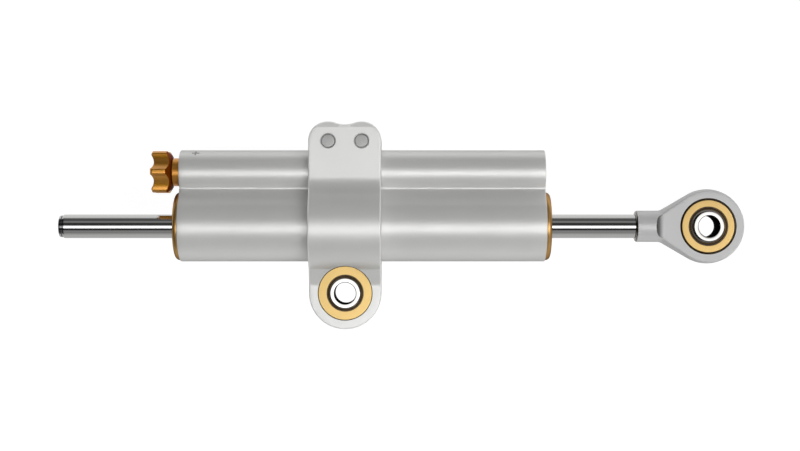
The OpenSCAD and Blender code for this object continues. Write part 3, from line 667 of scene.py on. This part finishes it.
def make_rod_end():
    xs = [END_X + 0.9 * (1 - cosd(a)) for a in arc_angles(0, 90, 9)]
    x = xs[-1]
    while x < TAN_X - 0.3:
        x += 0.12 if 115.5 < x < 120.2 else 0.28
        xs.append(x)
    xs += [EYE_X + HEAD_R * sind(a) for a in arc_angles(-CONE_A, 90, 1.1)][:-1]
    seg = 360
    rings = [[(118.2, ROD_Y, 0)]]
    for x, r in ((116.7, 4.02), (END_X, 4.02)):
        rings.append([(x, ROD_Y + r * sind(k), r * cosd(k)) for k in range(seg)])
    for x in xs:
        r, f = end_radius(x), end_flat(x)
        ring = []
        for k in range(seg):
            c = abs(cosd(k))
            lim = f / c if c > 1e-3 else 999
            p = smaller(r, lim, min(0.7, 0.25 + max(0, x - 117.5) * 0.2)) if x > 113 else r
            ring.append((x, ROD_Y + p * sind(k), p * cosd(k)))
        rings.append(ring)
    rings.append([(EYE_X + HEAD_R, ROD_Y, 0)])
    o = new_object("rod_end_shell", *loft(rings), angle=40)
    h = HEAD_H
    cutter = [(-h - 3, 0), (-h - 3, 10.25 + 3.3), (-h + 0.3, 10.25), (h - 0.3, 10.25), (h + 3, 10.25 + 3.3), (h + 3, 0)]
    return apply_cut(o, lathe("cutter", cutter, "z", (EYE_X, ROD_Y), 192), 40)


# the shoulder of the neck and the run-outs of the flats are painted darker: painted shade
rod_end = piece(make_rod_end(), "rod", "silver", end_look.m, "rod_end")
paint(rod_end, neck_look, lambda c, n: (c.x < 117.5 or abs(c.z) < HEAD_H - 0.1) and math.hypot(c.x - EYE_X, c.y - ROD_Y) > 11)
# painted shade: the neck's shoulder that faces the body is painted dark chrome
paint(rod_end, chrome_painted_shade_look, lambda c, n: c.x < END_X + 0.8 and n.x < -0.3)
# painted shade: the chamfers round the eye bore on the flats are painted dark chrome
paint(rod_end, chrome_painted_shade_look, lambda c, n: HEAD_H - 0.31 < abs(c.z) < HEAD_H - 0.01 and math.hypot(c.x - EYE_X, c.y - ROD_Y) < 10.56)
# painted shade: the run-outs of the flats, darker towards the neck
paint(rod_end, run_out_painted_shade_look, lambda c, n: c.x < FLAT_X and n.x > 0.02 and abs(c.z) > HEAD_H - 0.1)


# ---------------------------------------------------------------- knob
def make_knob():
    big, seg = 8.6, 360

    def lobe(phi):
        """Outer radius in the direction phi from +Z towards +Y: lobes at 0, 60, 120, valleys between them."""
        d = abs((phi + 30) % 60 - 30)
        d = 30 - d
        s = 6.6 ** 2 - (13.46 * sind(d)) ** 2
        v = 13.46 * cosd(d) - math.sqrt(s) if s > 0 else 99
        return smaller(big, v, 0.35)

    def front(r):
        if r <= 5.3:
            return -70.6
        return -70.6 - (r - 5.3) * 1.95 / 2.7 if r < 8 else -72.55 + (r - 8) * 0.65 / 0.65

    def back(r):
        return -65.2 - max(0, r - 6.1) * 1.6 / 2.55

    columns = []
    for k in range(seg):
        rho = lobe(k * 360 / seg)
        line = [(-66.0, 2.0), (-70.6, 2.0), (-70.6, 3.6), (-70.6, 5.0), (-70.68, 5.28)]
        f = 0.34
        steps = 14
        line += [(front(5.4 + (rho - f - 5.4) * i / steps), 5.4 + (rho - f - 5.4) * i / steps) for i in range(steps + 1)]
        # rounded rim between the front and the side
        xa, xb = front(rho - f), front(rho)
        line += [(xa + (max(xb, xa) + f - xa) * (1 - cosd(a)), rho - f + f * sind(a)) for a in (20, 40, 60, 75, 90)]
        g = 0.25
        xe = back(rho)
        line += [(xe - g - (xe - g - (max(xb, xa) + f)) * (1 - i / 6), rho) for i in range(1, 7)]
        line += [(xe - g + (g + back(rho - g) - xe) * sind(a), rho - g * (1 - cosd(a))) for a in (22, 45, 67, 90)]
        line += [(back(rho - g + (6.1 - rho + g) * i / 6), rho - g + (6.1 - rho + g) * i / 6) for i in range(1, 7)]
        line += [(-65.2, 5.9), (-65.2, 4.4), (-65.77, 4.4), (-65.77, 2.7), (-65.2, 2.7), (-65.2, 2.0)]
        columns.append(line)
    rings = []
    for j in range(len(columns[0])):
        rings.append([(columns[k][j][0], ADJ_Y + columns[k][j][1] * sind(k * 360 / seg), columns[k][j][1] * cosd(k * 360 / seg)) for k in range(seg)])
    return new_object("knob_shell", *loft(rings, join_ends=True), angle=40)


# painted shade: the knob's faces that look back towards the body are painted dark amber
paint(piece(make_knob(), "knob", "amber", knob_look.m, "adjuster_knob"), knob_back_painted_shade_look,
      lambda c, n: -68 < c.x and n.x > 0.3 and math.hypot(c.y - ADJ_Y, c.z) > 4.5)


# ---------------------------------------------------------------- expansion spring
def make_spring():
    coil, wire, a, b, turns, steps, sides = 3.85, 0.4, 60.15, 68.55, 5, 48, 16
    n = turns * steps
    rings = []
    for i in range(n + 1):
        x, t = a + wire + (b - a - 2 * wire) * i / n, 360 * i / steps
        around = [(wire * sind(k * 360 / sides), coil + wire * cosd(k * 360 / sides)) for k in range(sides)]
        rings.append([(x + dx, ADJ_Y + r * sind(t), -r * cosd(t)) for dx, r in around])
    v, f = loft(rings)
    return new_object("expansion_coil", v, f + [list(range(sides)), list(range(n * sides, (n + 1) * sides))])


# one end sits on the plug; the coil is baked where it is built and attached to no body, so it does not follow the
# piston
coil = make_spring()
coil.data.materials.append(steel_look.m)
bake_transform(coil)
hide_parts("expansion_spring")


# ---------------------------------------------------------------- floor, light, camera
# low enough for the damper to tilt about its frame eye without meeting it
floor_z = -58.0
me = bpy.data.meshes.new("floor")
s = 3.0
me.from_pydata([(-s, -s, floor_z * MM), (s, -s, floor_z * MM), (s, s, floor_z * MM), (-s, s, floor_z * MM)], [], [(0, 1, 2, 3)])
floor = bpy.data.objects.new("floor", me)
bpy.context.scene.collection.objects.link(floor)
floor_look = Look("pale_floor", (0.16, 0.16, 0.16), 0.0, 0.9)
floor_look.b.inputs["Specular IOR Level"].default_value = 0.0
floor_look.b.inputs["Emission Color"].default_value = (1, 1, 1, 1)
# what the floor sends to the damper is less than what makes it look white
across = floor_look.t.nodes.new("ShaderNodeSeparateXYZ")
floor_look.t.links.new(floor_look.coord, across.inputs[0])
glow = floor_look.t.nodes.new("ShaderNodeMapRange")
glow.inputs["To Max"].default_value = 0.94
floor_look.t.links.new(floor_look.spread(across.outputs["Y"], 0.64, 1.0, 0.0, 0.055), glow.inputs["To Min"])
floor_look.t.links.new(floor_look.t.nodes.new("ShaderNodeLightPath").outputs["Is Camera Ray"], glow.inputs["Value"])
floor_look.t.links.new(glow.outputs["Result"], floor_look.b.inputs["Emission Strength"])
floor.data.materials.append(floor_look.m)

world = bpy.data.worlds.new("studio")
bpy.context.scene.world = world
world.use_nodes = True
wt = world.node_tree
wt.nodes.clear()


def wnode(kind, **kw):
    n = wt.nodes.new(kind)
    for k, v in kw.items():
        setattr(n, k, v)
    return n


def wmath(op, a, b=None):
    n = wnode("ShaderNodeMath", operation=op)
    for i, v in enumerate((a, b)):
        if v is None:
            continue
        if hasattr(v, "links"):
            wt.links.new(v, n.inputs[i])
        else:
            n.inputs[i].default_value = v
    return n.outputs[0]


coord = wnode("ShaderNodeTexCoord")
split = wnode("ShaderNodeSeparateXYZ")
wt.links.new(coord.outputs["Generated"], split.inputs[0])
tilt = wmath("ARCTAN2", split.outputs["Y"], split.outputs["Z"])  # angle from straight up, towards +Y
share = wmath("ADD", wmath("MULTIPLY", tilt, 0.5 / math.pi), 0.5)
ramp = wnode("ShaderNodeValToRGB")
wt.links.new(share, ramp.inputs["Fac"])
ramp.color_ramp.interpolation = "LINEAR"
# brightness of the studio by angle from straight up: a strip light overhead, dark flags beside it, pale walls
STUDIO = [(-180, 0.85), (-95, 0.95), (-88, 0.88), (-80, 0.44), (-68, 0.66), (-58, 0.20), (-46, 0.64), (-38.8, 0.05), (-27, 0.05), (-20.4, 0.08), (-18.4, 0.6),
          (-16.4, 3.95), (-9, 3.95), (-2, 2.8), (3, 2.25), (5.5, 0.8), (8, 0.12), (20, 0.04), (30, 0.07), (40, 0.42), (50, 0.34), (58, 0.14), (66, 0.10),
          (78, 0.26), (92, 0.75), (180, 0.85)]
PEAK = 3.95
# and how much of it is left towards the left wall, X -1, and the right wall, X +1
ENDS = [(-1.0, 0.06), (-0.55, 0.06), (-0.36, 0.30), (-0.25, 0.86), (-0.10, 0.95), (0.06, 1.0), (0.30, 0.90), (0.42, 1.1), (0.50, 1.9), (0.70, 1.9), (0.82, 0.5), (1.0, 0.15)]
END_PEAK = 1.9


def fill(r, stops, scale, peak=1.0):
    e = r.color_ramp.elements
    while len(e) < len(stops):
        e.new(0.5)
    for el, (a, v) in zip(e, stops):
        el.position, el.color = a * scale + 0.5, (v / peak, v / peak, v / peak, 1)


fill(ramp, STUDIO, 1 / 360, PEAK)
along = wnode("ShaderNodeValToRGB")
wt.links.new(wmath("ADD", wmath("MULTIPLY", split.outputs["X"], 0.5), 0.5), along.inputs["Fac"])
fill(along, ENDS, 0.5, END_PEAK)
both = wmath("MULTIPLY", wmath("MULTIPLY", ramp.outputs["Color"], along.outputs["Color"]), PEAK * END_PEAK)
bg = wnode("ShaderNodeBackground")
wt.links.new(both, bg.inputs["Strength"])
bg.inputs["Color"].default_value = (1, 1, 1, 1)
seen = wnode("ShaderNodeBackground")
seen.inputs["Color"].default_value = (0.93, 0.93, 0.93, 1)
path = wnode("ShaderNodeLightPath")
mix = wnode("ShaderNodeMixShader")
wt.links.new(path.outputs["Is Camera Ray"], mix.inputs["Fac"])
wt.links.new(bg.outputs[0], mix.inputs[1])
wt.links.new(seen.outputs[0], mix.inputs[2])
out = wnode("ShaderNodeOutputWorld")
wt.links.new(mix.outputs[0], out.inputs["Surface"])
bpy.context.scene.view_settings.view_transform = "Standard"

cam = bpy.data.cameras.new("camera")
cam.sensor_width, cam.lens = 36.0, 67.4
cam.clip_start, cam.clip_end = 0.01, 20
camera = bpy.data.objects.new("camera", cam)
bpy.context.scene.collection.objects.link(camera)
camera.location = (0.0205, 0.0253, 0.565)
camera.rotation_euler = (0, 0, 0)
bpy.context.scene.camera = camera
